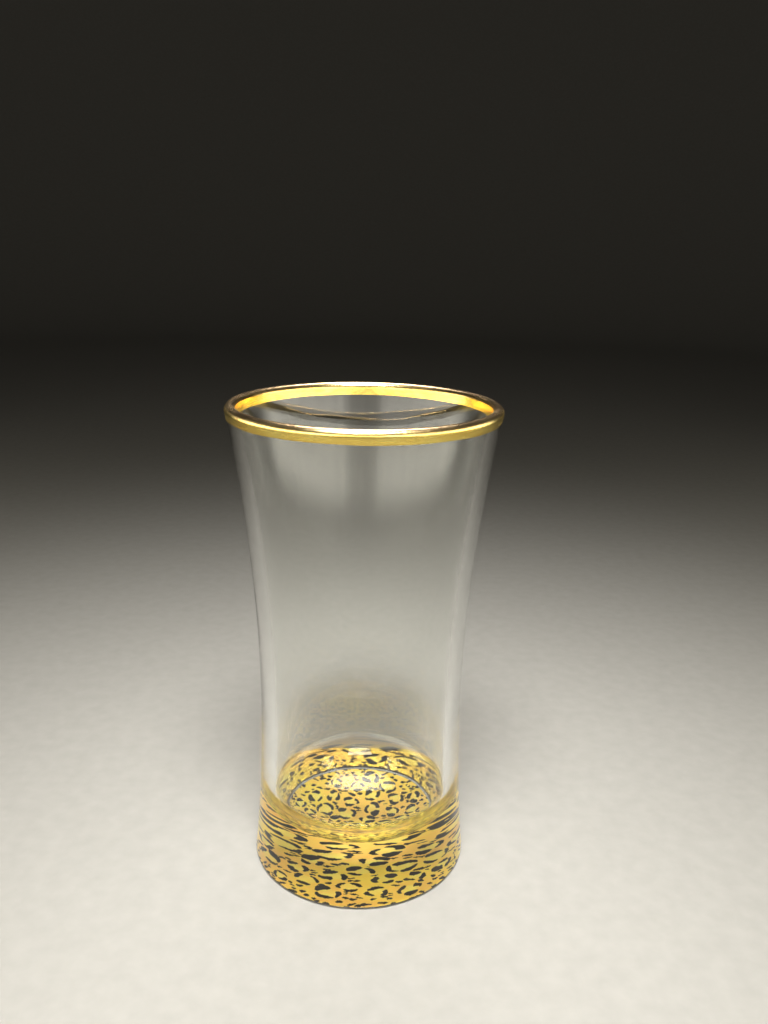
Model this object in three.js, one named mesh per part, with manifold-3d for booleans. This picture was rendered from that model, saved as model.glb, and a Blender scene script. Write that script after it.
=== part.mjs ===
// Tall flared shot glass with a gilded rim and a leopard print fired under its thick base.
// Millimetres, +Z up. The origin is the centre of the ring that the glass stands on.
import * as THREE from 'three';
import { mergeVertices } from 'three/addons/utils/BufferGeometryUtils.js';
import Module from 'manifold-3d';

// Outside of the glass: one long arc that is narrowest a third of the way up
const HEIGHT = 86;
const WAIST_RADIUS = 18.4;
const WAIST_HEIGHT = 30.6;
const SIDE_ARC_RADIUS = 301.7;
const LIP_RADIUS = 0.95;
const HEEL_RADIUS = 0.35;

// Inside of the glass: a tapering bore with a bowl-shaped floor
const BASE_THICKNESS = 7.25;
const BOWL_WIDTH = 15.3;
const BOWL_HEIGHT = 8.5;
const WALL_AT_FLOOR = 2.8;
const WALL_AT_LIP = 2 * LIP_RADIUS;

// Underside: a shallow recess inside a narrow standing ring
const RECESS_DEPTH = 0.3;
const STANDING_RING_WIDTH = 0.25;

// Fired decoration
const RIM_GOLD_THICKNESS = 0.06;
const RIM_GOLD_DEPTH = 2.25;
const PRINT_THICKNESS = 0.08;
const BACKING_THICKNESS = 0.08;
const PRINT_MARGIN = 0.03;

// Leopard pattern: broken rings on a golden-angle spiral, with short dashes in the gaps between them
const ROSETTE_COUNT = 34;
const ROSETTE_FIELD_RADIUS = 16.3;
const ROSETTE_RADIUS_MIN = 1.3;
const ROSETTE_RADIUS_MAX = 1.9;
const ROSETTE_JITTER = 0.25;
const STROKE_WIDTH = 0.85;
const STROKES_PER_ROSETTE = 3;
const STROKE_SWEEP_MIN = 1.2;
const STROKE_SWEEP_MAX = 1.85;
const STROKE_STEPS = 4;
const DASH_TRIES = 700;
const DASH_FIELD_RADIUS = 18.3;
const DASH_LENGTH_MIN = 0.8;
const DASH_LENGTH_MAX = 1.5;
const DASH_WIDTH = 0.5;
const DASH_CLEARANCE = 0.15;
const ISLAND_CLEARANCE = 0.02;
const PATTERN_SEED = 769;

// Facets
const TURN_SEGMENTS = 60;
const SIDE_STEPS = 10;
const BORE_STEPS = 8;
const LIP_STEPS = 6;
const HEEL_STEPS = 3;
const BOWL_STEPS = 8;
const DISC_SEGMENTS = 48;

const GOLDEN_ANGLE = Math.PI * (3 - Math.sqrt(5));
const LIP_CENTRE_HEIGHT = HEIGHT - LIP_RADIUS;
const RIM_GOLD_BOTTOM = HEIGHT - RIM_GOLD_DEPTH;
const RING_OUTER_RADIUS = outerRadius(HEEL_RADIUS) - HEEL_RADIUS;
const RECESS_RADIUS = RING_OUTER_RADIUS - STANDING_RING_WIDTH;
const PRINT_RADIUS = RECESS_RADIUS - PRINT_MARGIN;
const PRINT_BOTTOM = RECESS_DEPTH - PRINT_THICKNESS;
const BACKING_BOTTOM = PRINT_BOTTOM - BACKING_THICKNESS;

const wasm = await Module();
wasm.setup();

function outerRadius(z) {
  const sagitta = SIDE_ARC_RADIUS - Math.sqrt(SIDE_ARC_RADIUS ** 2 - (z - WAIST_HEIGHT) ** 2);
  return WAIST_RADIUS + sagitta;
}

function wallThickness(z) {
  const share = (z - BASE_THICKNESS) / (LIP_CENTRE_HEIGHT - BASE_THICKNESS);
  return THREE.MathUtils.lerp(WALL_AT_FLOOR, WALL_AT_LIP, share);
}

function innerRadius(z) {
  return outerRadius(z) - wallThickness(z);
}

// Points of an elliptical arc about a centre, from one angle to another, both ends included
function arcPoints(centreR, centreZ, radiusR, radiusZ, from, to, steps) {
  const points = [];
  for (let i = 0; i <= steps; i++) {
    const angle = THREE.MathUtils.lerp(from, to, i / steps);
    points.push(new THREE.Vector2(centreR + radiusR * Math.cos(angle), centreZ + radiusZ * Math.sin(angle)));
  }
  return points;
}

// Points of a wall between two heights, both ends included
function wallPoints(radiusAt, fromZ, toZ, steps) {
  const points = [];
  for (let i = 0; i <= steps; i++) {
    const z = THREE.MathUtils.lerp(fromZ, toZ, i / steps);
    points.push(new THREE.Vector2(radiusAt(z), z));
  }
  return points;
}

// The rim from the gold's outer lower edge, over the lip, to its inner lower edge
function rimPoints(offset) {
  const lipCentreRadius = outerRadius(LIP_CENTRE_HEIGHT) - LIP_RADIUS;
  const reach = LIP_RADIUS + offset;
  return [
    new THREE.Vector2(outerRadius(RIM_GOLD_BOTTOM) + offset, RIM_GOLD_BOTTOM),
    ...arcPoints(lipCentreRadius, LIP_CENTRE_HEIGHT, reach, reach, 0, Math.PI, LIP_STEPS),
    new THREE.Vector2(innerRadius(RIM_GOLD_BOTTOM) - offset, RIM_GOLD_BOTTOM),
  ];
}

function turned(profile) {
  const geometry = new THREE.LatheGeometry(profile, TURN_SEGMENTS);
  geometry.rotateX(Math.PI / 2);
  return geometry;
}

function glassBody() {
  const bowlTop = BASE_THICKNESS + BOWL_HEIGHT;
  const bowlCentre = innerRadius(bowlTop) - BOWL_WIDTH;
  const foot = [
    new THREE.Vector2(0, RECESS_DEPTH),
    new THREE.Vector2(RECESS_RADIUS, RECESS_DEPTH),
    new THREE.Vector2(RECESS_RADIUS, 0),
    ...arcPoints(RING_OUTER_RADIUS, HEEL_RADIUS, HEEL_RADIUS, HEEL_RADIUS, -Math.PI / 2, 0, HEEL_STEPS),
  ];
  const side = wallPoints(outerRadius, HEEL_RADIUS, RIM_GOLD_BOTTOM, SIDE_STEPS).slice(1, -1);
  const bore = wallPoints(innerRadius, RIM_GOLD_BOTTOM, bowlTop, BORE_STEPS).slice(1, -1);
  const bowl = arcPoints(bowlCentre, bowlTop, BOWL_WIDTH, BOWL_HEIGHT, 0, -Math.PI / 2, BOWL_STEPS);
  const centre = new THREE.Vector2(0, BASE_THICKNESS);
  return turned([...foot, ...side, ...rimPoints(0), ...bore, ...bowl, centre]);
}

function rimGoldBand() {
  const outside = rimPoints(RIM_GOLD_THICKNESS);
  const againstGlass = rimPoints(0).reverse();
  return turned([...outside, ...againstGlass, outside[0].clone()]);
}

// A small repeatable random source, from 0 to 1
function randomSource(seed) {
  let state = seed;
  return () => {
    state = (state * 16807) % 2147483647;
    return state / 2147483647;
  };
}

// One pointed stroke of a broken ring: out along its outer edge and back along its inner one
function strokeOutline(stroke, grow) {
  const points = [];
  const half = STROKE_WIDTH / 2 + grow;
  for (let i = 0; i <= STROKE_STEPS; i++) {
    const angle = stroke.start + stroke.sweep * (i / STROKE_STEPS);
    const bulge = half * Math.sin(Math.PI * (i / STROKE_STEPS));
    points.push([angle, stroke.radius + bulge]);
  }
  for (let i = STROKE_STEPS - 1; i >= 1; i--) {
    const angle = stroke.start + stroke.sweep * (i / STROKE_STEPS);
    const bulge = half * Math.sin(Math.PI * (i / STROKE_STEPS));
    points.push([angle, stroke.radius - bulge]);
  }
  return points.map(([angle, radius]) => new THREE.Vector2(
    stroke.x + radius * Math.cos(angle), stroke.y + radius * Math.sin(angle)));
}

// One pointed dash
function dashOutline(dash, grow) {
  const half = dash.length / 2 + grow;
  const side = DASH_WIDTH / 2 + grow;
  const corners = [[-half, 0], [-half / 2, -side], [half / 2, -side], [half, 0], [half / 2, side], [-half / 2, side]];
  const cos = Math.cos(dash.turn);
  const sin = Math.sin(dash.turn);
  return corners.map(([u, v]) => new THREE.Vector2(dash.x + u * cos - v * sin, dash.y + u * sin + v * cos));
}

function leopardRosettes(random) {
  const rosettes = [];
  for (let k = 0; k < ROSETTE_COUNT; k++) {
    const distance = ROSETTE_FIELD_RADIUS * Math.sqrt((k + 0.5) / ROSETTE_COUNT);
    const x = distance * Math.cos(k * GOLDEN_ANGLE) + ROSETTE_JITTER * (2 * random() - 1);
    const y = distance * Math.sin(k * GOLDEN_ANGLE) + ROSETTE_JITTER * (2 * random() - 1);
    const radius = THREE.MathUtils.lerp(ROSETTE_RADIUS_MIN, ROSETTE_RADIUS_MAX, random());
    const turn = 2 * Math.PI * random();
    const strokes = [];
    for (let i = 0; i < STROKES_PER_ROSETTE; i++) {
      const sweep = THREE.MathUtils.lerp(STROKE_SWEEP_MIN, STROKE_SWEEP_MAX, random());
      strokes.push({ x, y, radius, sweep, start: turn + i * 2 * Math.PI / STROKES_PER_ROSETTE });
    }
    rosettes.push({ x, y, radius, strokes });
  }
  return rosettes;
}

// Dashes at random places, kept only where they clear the rosettes and each other
function leopardDashes(rosettes, random) {
  const taken = rosettes.map(({ x, y, radius }) => ({ x, y, reach: radius + STROKE_WIDTH / 2 }));
  const dashes = [];
  for (let i = 0; i < DASH_TRIES; i++) {
    const distance = DASH_FIELD_RADIUS * Math.sqrt(random());
    const angle = 2 * Math.PI * random();
    const turn = Math.PI * random();
    const length = THREE.MathUtils.lerp(DASH_LENGTH_MIN, DASH_LENGTH_MAX, random());
    const x = distance * Math.cos(angle);
    const y = distance * Math.sin(angle);
    const reach = length / 2 + DASH_CLEARANCE;
    if (taken.every((other) => Math.hypot(x - other.x, y - other.y) > other.reach + reach)) {
      dashes.push({ x, y, turn, length });
      taken.push({ x, y, reach: length / 2 });
    }
  }
  return dashes;
}

function leopardPattern() {
  const random = randomSource(PATTERN_SEED);
  const rosettes = leopardRosettes(random);
  return { strokes: rosettes.flatMap(({ strokes }) => strokes), dashes: leopardDashes(rosettes, random) };
}

// Outlines of every dark mark, each grown or shrunk by the same amount all round
function markOutlines(pattern, grow) {
  const strokes = pattern.strokes.map((stroke) => strokeOutline(stroke, grow));
  const dashes = pattern.dashes.map((dash) => dashOutline(dash, grow));
  return [...strokes, ...dashes];
}

function discShape() {
  const shape = new THREE.Shape();
  shape.absarc(0, 0, PRINT_RADIUS, 0, 2 * Math.PI, false);
  return shape;
}

function extruded(shape, bottom, thickness) {
  const geometry = new THREE.ExtrudeGeometry(shape, {
    depth: thickness,
    bevelEnabled: false,
    curveSegments: DISC_SEGMENTS,
  });
  geometry.translate(0, 0, bottom);
  return geometry;
}

// The gold coat: a thin disc with an opening for every dark mark
function goldPrint(pattern) {
  const shape = discShape();
  for (const outline of markOutlines(pattern, 0)) {
    shape.holes.push(new THREE.Path(outline));
  }
  return extruded(shape, PRINT_BOTTOM, PRINT_THICKNESS);
}

function toManifold(geometry) {
  const bare = geometry.clone();
  bare.deleteAttribute('normal');
  bare.deleteAttribute('uv');
  const merged = mergeVertices(bare);
  return new wasm.Manifold(new wasm.Mesh({
    numProp: 3,
    vertProperties: new Float32Array(merged.attributes.position.array),
    triVerts: new Uint32Array(merged.index.array),
  }));
}

function toGeometry(solid) {
  const mesh = solid.getMesh();
  const geometry = new THREE.BufferGeometry();
  geometry.setAttribute('position', new THREE.BufferAttribute(mesh.vertProperties, 3));
  geometry.setIndex(new THREE.BufferAttribute(mesh.triVerts, 1));
  geometry.computeVertexNormals();
  return geometry;
}

// The black coat behind the gold: a disc whose raised marks fill the gold's openings
function blackBacking(pattern) {
  let solid = toManifold(extruded(discShape(), BACKING_BOTTOM, BACKING_THICKNESS));
  const markRoot = BACKING_BOTTOM + BACKING_THICKNESS / 2;
  for (const outline of markOutlines(pattern, -ISLAND_CLEARANCE)) {
    const mark = extruded(new THREE.Shape(outline), markRoot, RECESS_DEPTH - markRoot);
    solid = solid.add(toManifold(mark));
  }
  return toGeometry(solid);
}

function finish(color, roughness, metalness, extra = {}) {
  return new THREE.MeshStandardMaterial({ color, roughness, metalness, ...extra });
}

function addPiece(group, name, geometry, material) {
  const mesh = new THREE.Mesh(geometry, material);
  mesh.name = name;
  group.add(mesh);
}

const pattern = leopardPattern();
const group = new THREE.Group();
addPiece(group, 'glass_body', glassBody(), finish(0xf4f7f5, 0.03, 0, { transparent: true, opacity: 0.35 }));
addPiece(group, 'rim_gold_band', rimGoldBand(), finish(0xe6b422, 0.2, 1));
addPiece(group, 'base_gold_print', goldPrint(pattern), finish(0xe8b83e, 0.35, 0.7));
addPiece(group, 'base_black_backing', blackBacking(pattern), finish(0x0b0906, 0.4, 0));

export default group;
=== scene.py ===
"""Looks for a tall flared shot glass with a gilded rim and a leopard print under its thick base."""
import math

import bmesh
import bpy
import numpy as np
from mathutils import Matrix, Vector
from mathutils.geometry import delaunay_2d_cdt


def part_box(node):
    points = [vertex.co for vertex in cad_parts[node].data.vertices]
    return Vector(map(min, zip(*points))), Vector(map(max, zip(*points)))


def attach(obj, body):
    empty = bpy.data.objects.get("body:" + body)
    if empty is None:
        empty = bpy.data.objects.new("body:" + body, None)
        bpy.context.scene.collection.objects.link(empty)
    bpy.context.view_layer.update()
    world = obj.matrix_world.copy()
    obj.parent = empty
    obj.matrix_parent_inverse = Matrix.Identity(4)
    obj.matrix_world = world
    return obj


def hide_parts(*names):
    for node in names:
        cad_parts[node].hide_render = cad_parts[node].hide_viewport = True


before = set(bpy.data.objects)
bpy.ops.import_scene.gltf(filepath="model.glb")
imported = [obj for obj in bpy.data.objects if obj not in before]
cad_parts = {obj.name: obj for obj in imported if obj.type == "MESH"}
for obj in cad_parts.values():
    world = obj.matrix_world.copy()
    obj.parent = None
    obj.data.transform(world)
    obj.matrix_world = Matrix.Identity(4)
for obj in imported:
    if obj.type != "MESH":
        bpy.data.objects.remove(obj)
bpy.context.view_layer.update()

scene = bpy.context.scene

MM = 0.001

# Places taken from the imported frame
GLASS_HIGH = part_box("glass_body")[1]
PRINT_LOW, PRINT_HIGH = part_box("base_gold_print")
BACKING_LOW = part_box("base_black_backing")[0]
BAND_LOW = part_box("rim_gold_band")[0]
HEIGHT = GLASS_HIGH.z
RIM_RADIUS = GLASS_HIGH.x
PRINT_RADIUS = PRINT_HIGH.x
BAND_BOTTOM = BAND_LOW.z

# Outside of the glass: one long arc from the heel to the lip
WAIST_RADIUS = 18.4 * MM
WAIST_HEIGHT = 30.6 * MM
LIP_RADIUS = 0.95 * MM
HEEL_RADIUS = 0.35 * MM
LIP_HEIGHT = HEIGHT - LIP_RADIUS
SAGITTA = RIM_RADIUS - WAIST_RADIUS
SIDE_ARC_RADIUS = ((LIP_HEIGHT - WAIST_HEIGHT) ** 2 + SAGITTA ** 2) / (2 * SAGITTA)

# Inside of the glass: a tapering bore with a bowl-shaped floor
BASE_THICKNESS = 7.25 * MM
BOWL_WIDTH = 15.3 * MM
BOWL_HEIGHT = 8.5 * MM
WALL_AT_FLOOR = 2.8 * MM
WALL_AT_LIP = 2 * LIP_RADIUS
STANDING_RING_WIDTH = 0.25 * MM

# The fired coats sink this far into the glass, so that no air lies between them
BOND = 0.02 * MM
BAND_PROUD = 0.05 * MM
BAND_EDGE_WAVE = 0.06 * MM

# Slow ripples that pressing leaves in the walls
BORE_RIPPLE = 0.055 * MM
SIDE_RIPPLE = 0.008 * MM
RIPPLE_WAVES = 7
RIPPLE_SEED = 21
RIPPLE_FULL_HEIGHT = 25 * MM
RIPPLE_FADE = 6 * MM

# Leopard pattern in millimetres, with the frame's rosettes and dashes
ROSETTE_COUNT = 34
ROSETTE_FIELD_RADIUS = 16.3
ROSETTE_RADIUS_MIN = 1.3
ROSETTE_RADIUS_MAX = 1.9
ROSETTE_JITTER = 0.25
STROKE_WIDTH = 0.85
STROKES_PER_ROSETTE = 3
STROKE_SWEEP_MIN = 1.2
STROKE_SWEEP_MAX = 1.85
DASH_TRIES = 700
DASH_FIELD_RADIUS = 18.3
DASH_LENGTH_MIN = 0.8
DASH_LENGTH_MAX = 1.5
DASH_CLEARANCE = 0.15
PATTERN_SEED = 769
GOLDEN_ANGLE = math.pi * (3 - math.sqrt(5))

# How the real marks differ from the frame's plain ones
BRUSH_SEED = 71
TOOTH_STEP = 0.18
TOOTH_DEPTH = 0.30
STROKE_HALF_WIDTHS = (0.28, 0.48)
BLOT_SHARE = 0.12
BLOT_HALF_WIDTH = 0.62
STROKE_LOBE = 0.16
STROKE_DRIFT = 0.12
DASH_STRETCH = 1.35
DASH_HALF_WIDTHS = (0.14, 0.26)
BRUSH_ACROSS = 0.95
BRUSH_DEEP = 1.6
DASH_TURN_SHARE = 0.3
WARP_WAVES = 6
WARP_DEPTH = 0.06
EDGE_MARK_TRIES = 90
EDGE_MARK_SPACING = 1.7
EDGE_MARK_LENGTHS = (1.2, 2.4)
EDGE_MARK_HALF_WIDTHS = (0.18, 0.32)
FLECK_TRIES = 200
FLECK_SPACING = 0.9
FLECK_LENGTHS = (0.6, 1.3)
FLECK_HALF_WIDTHS = (0.08, 0.16)
FLECK_PAIR_SHARE = 0.5
FLECK_PAIR_GAP = 0.75

TURN_SEGMENTS = 256

# Studio, in metres
FLOOR_RADIUS = 0.9
FLOOR_SEGMENTS = 96
COVE_RADIUS = 0.7
WALL_HEIGHT = 2.2
# A glowing cloth backdrop stands round the front. Its light fades over these heights in metres and
# bearings in degrees.
BACKDROP_RADIUS = 0.42
BACKDROP_LIFT = 0.2 * MM
BACKDROP_COLUMNS = 181
BACKDROP_COVE = 0.06
BACKDROP_HEIGHT = 0.30
BACKDROP_REACH = 135
BACKDROP_FOOT = (0.0, 0.06)
BACKDROP_TOP = (0.12, 0.28)
BACKDROP_ENDS = (100, 134)
BACKDROP_MIDDLE = (8, 26)
BACKDROP_MIDDLE_SHARE = 0.45
BACKDROP_BRIGHTNESS = 4.2
# The cloth itself thins out to nothing over these, so that no edge of it shows
CLOTH_TOP = (0.18, 0.29)
CLOTH_ENDS = (98, 134)
STREAKS_PER_METRE = 26
STREAK_DARKEST = 0.78


# ---------------------------------------------------------------- camera

CAMERA_LENS = 31.64
CAMERA_SENSOR = 36.0
CAMERA_PLACE = Vector((0.0, -150.3 * MM, 112.4 * MM))
CAMERA_PITCH = math.radians(16.885)
CAMERA_YAW = math.radians(1.379)
CAMERA_ROLL = math.radians(1.127)


def make_camera():
    data = bpy.data.cameras.new("camera")
    data.lens = CAMERA_LENS
    data.sensor_width = CAMERA_SENSOR
    data.clip_start = 0.01
    ahead = Vector((
        math.sin(CAMERA_YAW) * math.cos(CAMERA_PITCH),
        math.cos(CAMERA_YAW) * math.cos(CAMERA_PITCH),
        -math.sin(CAMERA_PITCH),
    ))
    level_right = Vector((math.cos(CAMERA_YAW), -math.sin(CAMERA_YAW), 0.0))
    level_up = level_right.cross(ahead)
    right = level_right * math.cos(CAMERA_ROLL) + level_up * math.sin(CAMERA_ROLL)
    up = level_up * math.cos(CAMERA_ROLL) - level_right * math.sin(CAMERA_ROLL)
    turn = Matrix((right, up, -ahead)).transposed().to_4x4()
    camera = bpy.data.objects.new("camera", data)
    camera.matrix_world = Matrix.Translation(CAMERA_PLACE) @ turn
    scene.collection.objects.link(camera)
    scene.camera = camera


make_camera()


# ---------------------------------------------------------------- small helpers

def random_source(seed):
    """A small repeatable random source, from 0 to 1."""
    state = seed
    while True:
        state = (state * 16807) % 2147483647
        yield state / 2147483647


def lerp(a, b, t):
    return a + (b - a) * t


def smooth_step(low, high, x):
    t = np.clip((x - low) / (high - low), 0, 1)
    return t * t * (3 - 2 * t)


def outer_radius(z):
    return WAIST_RADIUS + SIDE_ARC_RADIUS - np.sqrt(SIDE_ARC_RADIUS ** 2 - (z - WAIST_HEIGHT) ** 2)


def inner_radius(z):
    share = (z - BASE_THICKNESS) / (LIP_HEIGHT - BASE_THICKNESS)
    return outer_radius(z) - lerp(WALL_AT_FLOOR, WALL_AT_LIP, share)


def arc_points(centre_r, centre_z, radius_r, radius_z, start, end, steps):
    angles = [lerp(start, end, i / steps) for i in range(steps + 1)]
    return [(centre_r + radius_r * math.cos(a), centre_z + radius_z * math.sin(a)) for a in angles]


def wall_points(radius_at, start, end, steps):
    heights = [lerp(start, end, i / steps) for i in range(steps + 1)]
    return [(float(radius_at(z)), z) for z in heights]


def new_piece(name, verts, faces, smooth_angle=None):
    mesh = bpy.data.meshes.new(name)
    mesh.from_pydata([tuple(v) for v in verts], [], faces)
    bm = bmesh.new()
    bm.from_mesh(mesh)
    bmesh.ops.recalc_face_normals(bm, faces=bm.faces)
    bm.to_mesh(mesh)
    bm.free()
    if smooth_angle is not None:
        mesh.shade_smooth()
        mesh.set_sharp_from_angle(angle=smooth_angle)
    piece = bpy.data.objects.new(name, mesh)
    scene.collection.objects.link(piece)
    return piece


def turned_piece(name, radii, heights, closed=False, smooth_angle=math.radians(40)):
    """A body of revolution. radii and heights hold one row per profile point and one column per facet."""
    rows, columns = radii.shape
    turn = np.arange(columns) * 2 * math.pi / columns
    verts, rings = [], []
    for r, z in zip(radii, heights):
        if np.all(r < 1e-9):
            rings.append([len(verts)] * columns)
            verts.append((0.0, 0.0, float(z[0])))
        else:
            rings.append(list(range(len(verts), len(verts) + columns)))
            verts.extend(zip(r * np.cos(turn), r * np.sin(turn), z))
    if closed:
        rings.append(rings[0])
    faces = []
    for low, high in zip(rings, rings[1:]):
        for i in range(columns):
            j = (i + 1) % columns
            corners = [low[i], low[j], high[j], high[i]]
            faces.append(tuple(dict.fromkeys(corners)))
    return new_piece(name, verts, faces, smooth_angle)


def finish_piece(piece, node, material):
    piece.data.materials.append(material)
    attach(piece, "root")
    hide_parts(node)


# ---------------------------------------------------------------- materials

class Nodes:
    """A material's node tree, with short calls to add and link nodes."""

    def __init__(self, name):
        self.material = bpy.data.materials.new(name)
        self.material.use_nodes = True
        self.tree = self.material.node_tree
        self.shader = self.tree.nodes["Principled BSDF"]

    def set(self, **values):
        for key, value in values.items():
            self.shader.inputs[key.replace("_", " ")].default_value = value

    def link(self, source, target):
        self.tree.links.new(source, self.shader.inputs[target] if isinstance(target, str) else target)

    def add(self, kind, **settings):
        node = self.tree.nodes.new(kind)
        for key, value in settings.items():
            setattr(node, key, value)
        return node

    def noise(self, scale, detail=3.0, roughness=0.5, stretch=(1, 1, 1)):
        coords = self.add("ShaderNodeTexCoord")
        mapping = self.add("ShaderNodeMapping")
        mapping.inputs["Scale"].default_value = stretch
        self.tree.links.new(coords.outputs["Object"], mapping.inputs["Vector"])
        noise = self.add("ShaderNodeTexNoise")
        noise.inputs["Scale"].default_value = scale
        noise.inputs["Detail"].default_value = detail
        noise.inputs["Roughness"].default_value = roughness
        self.tree.links.new(mapping.outputs["Vector"], noise.inputs["Vector"])
        return noise.outputs["Fac"]

    def height(self):
        coords = self.add("ShaderNodeTexCoord")
        split = self.add("ShaderNodeSeparateXYZ")
        self.tree.links.new(coords.outputs["Object"], split.inputs["Vector"])
        return split.outputs["Z"]

    def multiply(self, first, second):
        node = self.add("ShaderNodeMath", operation="MULTIPLY")
        self.tree.links.new(first, node.inputs[0])
        self.tree.links.new(second, node.inputs[1])
        return node.outputs[0]

    def spread(self, source, low, high, out_low, out_high):
        node = self.add("ShaderNodeMapRange")
        node.inputs["From Min"].default_value = low
        node.inputs["From Max"].default_value = high
        node.inputs["To Min"].default_value = out_low
        node.inputs["To Max"].default_value = out_high
        self.tree.links.new(source, node.inputs["Value"])
        return node.outputs["Result"]

    def blend(self, share, first, second):
        node = self.add("ShaderNodeMix", data_type="RGBA")
        self.tree.links.new(share, node.inputs["Factor"])
        for value, socket in ((first, node.inputs[6]), (second, node.inputs[7])):
            if isinstance(value, tuple):
                socket.default_value = (*value, 1)
            else:
                self.tree.links.new(value, socket)
        return node.outputs[2]

    def bump(self, source, distance, strength=1.0):
        node = self.add("ShaderNodeBump")
        node.inputs["Strength"].default_value = strength
        node.inputs["Distance"].default_value = distance
        self.tree.links.new(source, node.inputs["Height"])
        self.link(node.outputs["Normal"], "Normal")


def glass_material():
    nodes = Nodes("clear_glass")
    nodes.set(Base_Color=(0.985, 0.992, 0.975, 1), Transmission_Weight=1.0, IOR=1.52, Roughness=0.0)
    nodes.bump(nodes.noise(60, detail=2, stretch=(1, 1, 0.3)), 0.02 * MM)
    return nodes.material


def rim_gold_material():
    """Bright gold that turns thin and rosy over the top of the lip."""
    nodes = Nodes("rim_gold")
    nodes.set(Metallic=1.0)
    tone = nodes.spread(nodes.noise(120, detail=4, stretch=(1, 1, 3)), 0.3, 0.7, 0, 1)
    gold = nodes.blend(tone, (1.0, 0.66, 0.12), (1.0, 0.80, 0.22))
    worn = nodes.spread(nodes.height(), LIP_HEIGHT, HEIGHT, 0.0, 0.75)
    nodes.link(nodes.blend(worn, gold, (1.0, 0.72, 0.50)), "Base Color")
    streaks = nodes.noise(400, detail=4, stretch=(0.3, 0.3, 6))
    nodes.link(nodes.spread(streaks, 0.3, 0.7, 0.18, 0.30), "Roughness")
    dents = nodes.noise(420, detail=2)
    nodes.bump(dents, 0.16 * MM, 0.6)
    return nodes.material


def print_gold_material():
    nodes = Nodes("print_gold")
    nodes.set(Metallic=0.7)
    patches = nodes.spread(nodes.noise(70, detail=2), 0.42, 0.62, 0, 1)
    ground = nodes.blend(patches, (0.97, 0.61, 0.10), (1.0, 0.76, 0.08))
    spot = nodes.add("ShaderNodeAttribute", attribute_name="spot")
    mottle = nodes.spread(nodes.noise(420, detail=3), 0.3, 0.7, 0.25, 1.0)
    pale = nodes.multiply(spot.outputs["Fac"], mottle)
    nodes.link(nodes.blend(pale, ground, (1.0, 0.86, 0.17)), "Base Color")
    grain = nodes.noise(1500, detail=3)
    nodes.link(nodes.spread(grain, 0.3, 0.7, 0.42, 0.58), "Roughness")
    nodes.bump(grain, 0.01 * MM, 0.4)
    return nodes.material


def black_enamel_material():
    nodes = Nodes("black_enamel")
    nodes.set(Specular_IOR_Level=0.02)
    mottle = nodes.noise(900, detail=4)
    nodes.link(nodes.blend(mottle, (0.003, 0.002, 0.001), (0.012, 0.008, 0.004)), "Base Color")
    nodes.link(nodes.spread(mottle, 0.3, 0.7, 0.3, 0.5), "Roughness")
    nodes.bump(mottle, 0.01 * MM, 0.5)
    return nodes.material


def floor_material():
    nodes = Nodes("pale_floor")
    grain = nodes.noise(300, detail=5)
    nodes.link(nodes.blend(grain, (0.20, 0.195, 0.18), (0.25, 0.243, 0.225)), "Base Color")
    nodes.set(Roughness=0.7)
    nodes.bump(grain, 0.05 * MM, 0.5)
    return nodes.material


def backdrop_material():
    """Pale cloth. Its attributes say where it glows, how far along it a point lies and how dense it is."""
    nodes = Nodes("glowing_backdrop")
    nodes.set(Roughness=0.8, Base_Color=(0.22, 0.215, 0.2, 1), Emission_Color=(1.0, 0.95, 0.83, 1))
    nodes.link(nodes.add("ShaderNodeAttribute", attribute_name="cover").outputs["Fac"], "Alpha")
    along = nodes.add("ShaderNodeAttribute", attribute_name="along")
    glow = nodes.add("ShaderNodeAttribute", attribute_name="glow")
    noise = nodes.add("ShaderNodeTexNoise", noise_dimensions="1D")
    noise.inputs["Scale"].default_value = STREAKS_PER_METRE
    noise.inputs["Detail"].default_value = 3.0
    nodes.link(along.outputs["Fac"], noise.inputs["W"])
    dimmest = STREAK_DARKEST * BACKDROP_BRIGHTNESS
    streaks = nodes.spread(noise.outputs["Fac"], 0.36, 0.64, dimmest, BACKDROP_BRIGHTNESS)
    nodes.link(nodes.multiply(streaks, glow.outputs["Fac"]), "Emission Strength")
    return nodes.material


# ---------------------------------------------------------------- glass

def ripple(radii_shape, heights, turn, size):
    """Slow waves round the wall that drift along its height and fade out at the lip and the floor."""
    random = random_source(RIPPLE_SEED)
    total = np.zeros(radii_shape)
    for wave in range(RIPPLE_WAVES):
        count = 3 + 2 * wave
        phase = 2 * math.pi * next(random)
        drift = (next(random) - 0.5) * 60
        total += np.sin(count * turn[None, :] + phase + drift * heights) / (1 + 0.4 * wave)
    fade_in = smooth_step(BASE_THICKNESS, RIPPLE_FULL_HEIGHT, heights)
    fade_out = smooth_step(BAND_BOTTOM - RIPPLE_FADE, BAND_BOTTOM, heights)
    return total / RIPPLE_WAVES * 2 * size * (fade_in * (1 - fade_out))


def lip_points(offset, steps):
    centre = outer_radius(LIP_HEIGHT) - LIP_RADIUS
    reach = LIP_RADIUS + offset
    return arc_points(float(centre), LIP_HEIGHT, reach, reach, 0, math.pi, steps)


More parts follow.
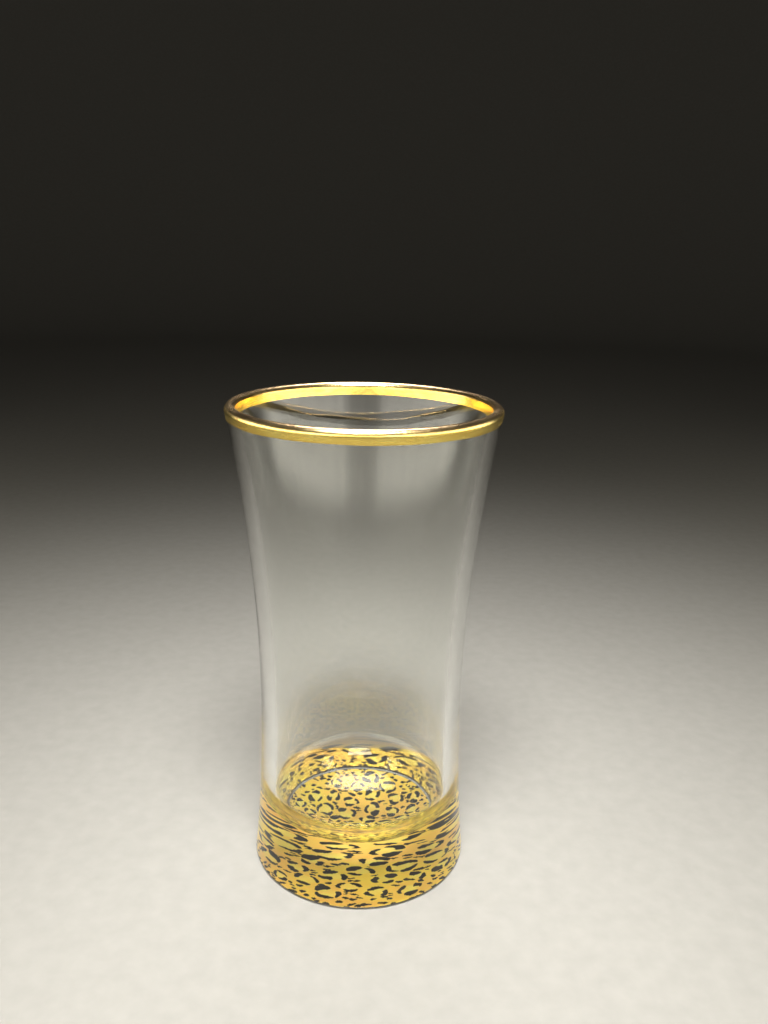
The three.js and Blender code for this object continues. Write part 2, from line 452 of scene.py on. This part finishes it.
def make_glass():
    recess = PRINT_HIGH.z - BOND
    ring_outer = float(outer_radius(HEEL_RADIUS)) - HEEL_RADIUS
    recess_radius = ring_outer - STANDING_RING_WIDTH
    bowl_top = BASE_THICKNESS + BOWL_HEIGHT
    bowl_centre = float(inner_radius(bowl_top)) - BOWL_WIDTH
    side = [
        (0.0, recess), (recess_radius * 0.5, recess), (recess_radius, recess), (recess_radius, 0.0),
        *arc_points(ring_outer, HEEL_RADIUS, HEEL_RADIUS, HEEL_RADIUS, -math.pi / 2, 0, 10),
        *wall_points(outer_radius, HEEL_RADIUS, LIP_HEIGHT, 80)[1:-1],
        *lip_points(0, 16),
    ]
    bore = [
        *wall_points(inner_radius, LIP_HEIGHT, bowl_top, 80)[1:-1],
        *arc_points(bowl_centre, bowl_top, BOWL_WIDTH, BOWL_HEIGHT, 0, -math.pi / 2, 48),
        (bowl_centre * 0.5, BASE_THICKNESS), (0.0, BASE_THICKNESS),
    ]
    profile = np.array(side + bore)
    turn = np.arange(TURN_SEGMENTS) * 2 * math.pi / TURN_SEGMENTS
    radii = np.repeat(profile[:, :1], TURN_SEGMENTS, axis=1)
    heights = np.repeat(profile[:, 1:], TURN_SEGMENTS, axis=1)
    depth = np.where(np.arange(len(profile)) < len(side), SIDE_RIPPLE, BORE_RIPPLE)[:, None]
    radii = radii + np.where(radii > 0, ripple(radii.shape, heights, turn, depth), 0)
    return turned_piece("glass_tumbler", radii, heights)


def make_rim_gold():
    """A closed shell over the lip, whose two lower edges wander a little, as a hand-banded line does."""
    turn = np.arange(TURN_SEGMENTS) * 2 * math.pi / TURN_SEGMENTS

    def edge(phase):
        slow, quick = np.sin(3 * turn + phase), np.sin(7 * turn + 2 * phase)
        fine = np.sin(16 * turn + 5 * phase)
        return BAND_BOTTOM + BAND_EDGE_WAVE * ((slow + 0.7 * quick + 0.5 * fine) / 2.2)

    def skin(offset):
        rows = []
        steps = 5
        for i in range(steps):
            z = lerp(edge(1.0), LIP_HEIGHT, i / steps)
            rows.append((outer_radius(z) + offset, z))
        for r, z in lip_points(offset, 16):
            rows.append((np.full(TURN_SEGMENTS, r), np.full(TURN_SEGMENTS, z)))
        for i in range(1, steps + 1):
            z = lerp(LIP_HEIGHT, edge(2.3), i / steps)
            rows.append((inner_radius(z) - offset, z))
        return rows

    rows = skin(BAND_PROUD) + skin(-BOND)[::-1]
    radii = np.array([r for r, z in rows])
    heights = np.array([z for r, z in rows])
    return turned_piece("rim_gold", radii, heights, closed=True)


# ---------------------------------------------------------------- print

def leopard_rosettes(random):
    """The frame's rosettes: centre, radius, and each stroke's start and sweep."""
    rosettes = []
    for k in range(ROSETTE_COUNT):
        distance = ROSETTE_FIELD_RADIUS * math.sqrt((k + 0.5) / ROSETTE_COUNT)
        x = distance * math.cos(k * GOLDEN_ANGLE) + ROSETTE_JITTER * (2 * next(random) - 1)
        y = distance * math.sin(k * GOLDEN_ANGLE) + ROSETTE_JITTER * (2 * next(random) - 1)
        radius = lerp(ROSETTE_RADIUS_MIN, ROSETTE_RADIUS_MAX, next(random))
        turn = 2 * math.pi * next(random)
        strokes = []
        for i in range(STROKES_PER_ROSETTE):
            sweep = lerp(STROKE_SWEEP_MIN, STROKE_SWEEP_MAX, next(random))
            strokes.append((turn + i * 2 * math.pi / STROKES_PER_ROSETTE, sweep))
        rosettes.append((x, y, radius, strokes))
    return rosettes


def leopard_dashes(rosettes, random):
    """The frame's dashes between the rosettes: centre, turn and length."""
    taken = [(x, y, radius + STROKE_WIDTH / 2) for x, y, radius, strokes in rosettes]
    dashes = []
    for _ in range(DASH_TRIES):
        distance = DASH_FIELD_RADIUS * math.sqrt(next(random))
        angle = 2 * math.pi * next(random)
        turn = math.pi * next(random)
        length = lerp(DASH_LENGTH_MIN, DASH_LENGTH_MAX, next(random))
        x, y = distance * math.cos(angle), distance * math.sin(angle)
        reach = length / 2 + DASH_CLEARANCE
        if all(math.hypot(x - a, y - b) > other + reach for a, b, other in taken):
            dashes.append((x, y, turn, length))
            taken.append((x, y, length / 2))
    return dashes


def signed_area(outline):
    ahead = outline[1:] + outline[:1]
    return sum(a[0] * b[1] - b[0] * a[1] for a, b in zip(outline, ahead)) / 2


def ragged_band(along, half_width, length, brush):
    """The outline of a brush mark with torn edges. along(t, offset) gives its points."""
    steps = max(5, int(length / TOOTH_STEP))
    heavy_end = lerp(-0.45, 0.45, next(brush))
    outline = []
    for side in (1, -1):
        for i in range(steps):
            t = i / steps if side == 1 else 1 - i / steps
            swell = math.sin(math.pi * t) ** 0.4 * (1 + heavy_end * math.cos(math.pi * t))
            tooth = TOOTH_DEPTH * (next(brush) - 0.3) * (1.0 if i % 2 else 0.15)
            outline.append(along(t, side * swell * (half_width + tooth)))
    return outline if signed_area(outline) > 0 else outline[::-1]


def stroke_outline(x, y, radius, start, sweep, brush):
    """One side of a rosette. A few are heavy blots."""
    half = BLOT_HALF_WIDTH if next(brush) < BLOT_SHARE else lerp(*STROKE_HALF_WIDTHS, next(brush))
    lobe = lerp(-STROKE_LOBE, STROKE_LOBE, next(brush))
    drift = lerp(-STROKE_DRIFT, STROKE_DRIFT, next(brush))

    def along(t, offset):
        angle = start + sweep * (1.12 * t - 0.06)
        reach = radius * (1.04 + drift * (2 * t - 1) + lobe * math.sin(2 * math.pi * t))
        return (x + reach * math.cos(angle) + offset * BRUSH_ACROSS * math.cos(angle),
                y + reach * math.sin(angle) + offset * BRUSH_DEEP * math.sin(angle))

    return ragged_band(along, half, radius * sweep, brush)


def dash_outline(x, y, turn, length, half, brush):
    bend = lerp(-0.15, 0.15, next(brush))

    def along(t, offset):
        u = (t - 0.5) * length
        v = offset * BRUSH_DEEP + bend * math.cos(math.pi * (t - 0.5))
        return (x + u * math.cos(turn) - v * math.sin(turn), y + u * math.sin(turn) + v * math.cos(turn))

    return ragged_band(along, half, length, brush)


def level(turn):
    """Dashes run more or less one way."""
    return DASH_TURN_SHARE * (turn - math.pi / 2)


def edge_marks(taken, brush):
    """Marks that the print's edge cuts through."""
    edge = PRINT_RADIUS / MM
    marks, places = [], []
    for _ in range(EDGE_MARK_TRIES):
        reach = edge - lerp(-0.2, 0.7, next(brush))
        angle = 2 * math.pi * next(brush)
        x, y = reach * math.cos(angle), reach * math.sin(angle)
        turn = level(math.pi * next(brush))
        length = lerp(*EDGE_MARK_LENGTHS, next(brush))
        half = lerp(*EDGE_MARK_HALF_WIDTHS, next(brush))
        near_edge = any(math.hypot(x - a, y - b) < EDGE_MARK_SPACING for a, b in places)
        near_mark = any(math.hypot(x - a, y - b) < other + 0.5 for a, b, other in taken)
        if not near_edge and not near_mark:
            marks.append(dash_outline(x, y, turn, length, half, brush))
            places.append((x, y))
            taken.append((x, y, length / 2))
    return marks


def flecks(taken, brush):
    """Small flecks in what is left of the gaps."""
    marks = []
    for _ in range(FLECK_TRIES):
        reach = PRINT_RADIUS / MM * math.sqrt(next(brush))
        angle = 2 * math.pi * next(brush)
        x, y = reach * math.cos(angle), reach * math.sin(angle)
        if all(math.hypot(x - a, y - b) > other + 0.35 for a, b, other in taken):
            length = lerp(*FLECK_LENGTHS, next(brush))
            half = lerp(*FLECK_HALF_WIDTHS, next(brush))
            turn = level(math.pi * next(brush))
            marks.append(dash_outline(x, y, turn, length, half, brush))
            if next(brush) < FLECK_PAIR_SHARE:
                aside = (x - FLECK_PAIR_GAP * math.sin(turn), y + FLECK_PAIR_GAP * math.cos(turn))
                marks.append(dash_outline(*aside, turn, length * 0.8, half, brush))
            taken.append((x, y, FLECK_SPACING / 2))
    return marks


def warp(brush):
    """A gentle distortion that takes the rosettes out of round."""
    waves = []
    for _ in range(WARP_WAVES):
        heading, length = 2 * math.pi * next(brush), lerp(2.6, 6.5, next(brush))
        waves.append((math.cos(heading) / length, math.sin(heading) / length, next(brush), next(brush)))

    def bend(x, y):
        dx = sum(math.sin(2 * math.pi * (x * a + y * b + c)) for a, b, c, d in waves)
        dy = sum(math.sin(2 * math.pi * (x * a + y * b + d)) for a, b, c, d in waves)
        return (x + WARP_DEPTH * dx, y + WARP_DEPTH * dy)

    return bend


def leopard_marks():
    """Outlines of every dark mark, and the rosettes that they belong to."""
    random = random_source(PATTERN_SEED)
    brush = random_source(BRUSH_SEED)
    rosettes = leopard_rosettes(random)
    dashes = leopard_dashes(rosettes, random)
    marks = []
    for x, y, radius, strokes in rosettes:
        for start, sweep in strokes:
            marks.append(stroke_outline(x, y, radius, start, sweep, brush))
    for x, y, turn, length in dashes:
        half = lerp(*DASH_HALF_WIDTHS, next(brush))
        marks.append(dash_outline(x, y, level(turn), length * DASH_STRETCH, half, brush))
    taken = [(x, y, radius + 0.4) for x, y, radius, strokes in rosettes]
    taken += [(x, y, length / 2) for x, y, turn, length in dashes]
    marks += edge_marks(taken, brush)
    marks += flecks(taken, brush)
    bend = warp(brush)
    return [[bend(x, y) for x, y in mark] for mark in marks], rosettes


def print_triangles(marks, rosettes):
    """The print's disc cut into triangles, each marked as dark or gold. In millimetres."""
    edge = PRINT_RADIUS / MM
    rim_steps = 240
    points, outlines = [], []
    rim_turns = [2 * math.pi * i / rim_steps for i in range(rim_steps)]
    disc = [(edge * math.cos(turn), edge * math.sin(turn)) for turn in rim_turns]
    for outline in [disc, *marks]:
        outlines.append(list(range(len(points), len(points) + len(outline))))
        points.extend(outline)
    for x, y, radius, strokes in rosettes:
        points.append((x, y))
        for share in (0.35, 0.65, 0.95, 1.25):
            for i in range(14):
                angle = i * math.pi / 7
                points.append((x + share * radius * math.cos(angle), y + share * radius * math.sin(angle)))
    cut = delaunay_2d_cdt([Vector(p) for p in points], [], outlines, 0, 1e-5, True)
    verts, faces, sources = cut[0], cut[2], cut[5]
    kept = [(tuple(f), any(s > 0 for s in source)) for f, source in zip(faces, sources) if 0 in source]
    return [(v.x, v.y) for v in verts], kept


def layered_piece(name, verts, cells, low, high_of):
    """A closed solid. cells is [(corner indices, kind)] and high_of(kind) gives a cell's top."""
    levels, faces, index = [], [], {}

    def corner(i, z):
        key = (i, round(z, 9))
        if key not in index:
            index[key] = len(levels)
            levels.append((verts[i][0] * MM, verts[i][1] * MM, z))
        return index[key]

    edges = {}
    for corners, kind in cells:
        top = high_of(kind)
        faces.append([corner(i, top) for i in corners])
        faces.append([corner(i, low) for i in reversed(corners)])
        for a, b in zip(corners, corners[1:] + corners[:1]):
            edges.setdefault(frozenset((a, b)), []).append((a, b, top))
    tops = sorted({high_of(kind) for _, kind in cells})
    for sides in edges.values():
        a, b, top = max(sides, key=lambda s: s[2])
        floor = min(s[2] for s in sides) if len(sides) == 2 else low
        steps = [z for z in [low, *tops] if floor <= z <= top]
        for z0, z1 in zip(steps, steps[1:]):
            faces.append([corner(a, z0), corner(b, z0), corner(b, z1), corner(a, z1)])
    return new_piece(name, levels, faces)


def make_print():
    marks, rosettes = leopard_marks()
    verts, cells = print_triangles(marks, rosettes)
    top, middle, low = PRINT_HIGH.z, PRINT_LOW.z, BACKING_LOW.z
    gold_cells = [cell for cell in cells if not cell[1]]
    gold = layered_piece("gold_leopard_ground", verts, gold_cells, middle, lambda kind: top)
    black = layered_piece("black_leopard_marks", verts, cells, low, lambda kind: top if kind else middle)
    spot = gold.data.attributes.new("spot", "FLOAT", "POINT")
    centres = np.array([(x, y, radius) for x, y, radius, strokes in rosettes])
    for i, v in enumerate(gold.data.vertices):
        away = np.hypot(centres[:, 0] - v.co.x / MM, centres[:, 1] - v.co.y / MM) / centres[:, 2]
        spot.data[i].value = float(1 - smooth_step(0.75, 1.1, away.min()))
    return gold, black


# ---------------------------------------------------------------- stage and light

def make_floor():
    """A floor that curves up into a plain wall all the way round."""
    wall = FLOOR_RADIUS + COVE_RADIUS
    cove = arc_points(FLOOR_RADIUS, COVE_RADIUS, COVE_RADIUS, COVE_RADIUS, -math.pi / 2, 0, 24)
    profile = np.array([(0.0, 0.0), (0.1, 0.0), (0.4, 0.0), *cove, (wall, WALL_HEIGHT)])
    radii = np.repeat(profile[:, :1], FLOOR_SEGMENTS, axis=1)
    heights = np.repeat(profile[:, 1:], FLOOR_SEGMENTS, axis=1)
    floor = turned_piece("floor", radii, heights, smooth_angle=math.pi)
    floor.data.materials.append(floor_material())


def soft_light(name, place, target, width, height, power, spread, color):
    data = bpy.data.lights.new(name, "AREA")
    data.shape = "RECTANGLE"
    data.size, data.size_y = width, height
    data.energy = power
    data.spread = math.radians(spread)
    data.color = color
    light = bpy.data.objects.new(name, data)
    light.visible_camera = False
    light.location = place
    light.rotation_euler = (Vector(target) - Vector(place)).to_track_quat("-Z", "Y").to_euler()
    scene.collection.objects.link(light)


def make_backdrop():
    """A glowing cloth that curves up from the floor round the front, brighter in soft upright streaks."""
    reach = math.radians(BACKDROP_REACH)
    turns = np.linspace(-reach, reach, BACKDROP_COLUMNS)
    cove = arc_points(
        BACKDROP_RADIUS - BACKDROP_COVE, BACKDROP_COVE + BACKDROP_LIFT,
        BACKDROP_COVE, BACKDROP_COVE, -math.pi / 2, 0, 12,
    )
    rows = [*cove, *((BACKDROP_RADIUS, z) for z in np.linspace(BACKDROP_COVE, BACKDROP_HEIGHT, 26)[1:])]
    verts = [(r * math.sin(t), -r * math.cos(t), z) for r, z in rows for t in turns]
    wide = len(turns)
    faces = [(i * wide + j, i * wide + j + 1, (i + 1) * wide + j + 1, (i + 1) * wide + j)
             for i in range(len(rows) - 1) for j in range(wide - 1)]
    backdrop = new_piece("backdrop", verts, faces, smooth_angle=math.pi)
    glow = backdrop.data.attributes.new("glow", "FLOAT", "POINT")
    along = backdrop.data.attributes.new("along", "FLOAT", "POINT")
    cover = backdrop.data.attributes.new("cover", "FLOAT", "POINT")
    for i, v in enumerate(backdrop.data.vertices):
        bearing = math.degrees(turns[i % wide])
        rise = smooth_step(*BACKDROP_FOOT, v.co.z) * (1 - smooth_step(*BACKDROP_TOP, v.co.z))
        ends = 1 - smooth_step(*BACKDROP_ENDS, abs(bearing))
        middle = lerp(BACKDROP_MIDDLE_SHARE, 1, smooth_step(*BACKDROP_MIDDLE, abs(bearing)))
        glow.data[i].value = float(rise * ends * middle)
        along.data[i].value = float(turns[i % wide] * BACKDROP_RADIUS)
        thin_top, thin_ends = smooth_step(*CLOTH_TOP, v.co.z), smooth_step(*CLOTH_ENDS, abs(bearing))
        cover.data[i].value = float((1 - thin_top) * (1 - thin_ends))
    backdrop.data.materials.append(backdrop_material())


def make_lights():
    white = (1.0, 0.98, 0.94)
    soft_light("front_top", (0.0, -0.16, 0.38), (0, -0.03, 0.02), 0.16, 0.12, 0.60, 60, white)
    soft_light("back_top", (0.0, 0.17, 0.36), (0, 0.0, 0.03), 0.22, 0.16, 0.08, 50, white)
    world = bpy.data.worlds.new("studio")
    world.use_nodes = True
    world.node_tree.nodes["Background"].inputs["Color"].default_value = (0.05, 0.048, 0.045, 1)
    world.node_tree.nodes["Background"].inputs["Strength"].default_value = 1.0
    scene.world = world


def set_light_paths():
    scene.cycles.max_bounces = 24
    scene.cycles.transmission_bounces = 24
    scene.cycles.glossy_bounces = 12
    scene.view_settings.view_transform = "Standard"


# ---------------------------------------------------------------- assembly

glass = make_glass()
finish_piece(glass, "glass_body", glass_material())
rim = make_rim_gold()
finish_piece(rim, "rim_gold_band", rim_gold_material())
gold_ground, black_marks = make_print()
finish_piece(gold_ground, "base_gold_print", print_gold_material())
finish_piece(black_marks, "base_black_backing", black_enamel_material())
make_floor()
make_backdrop()
make_lights()
set_light_paths()
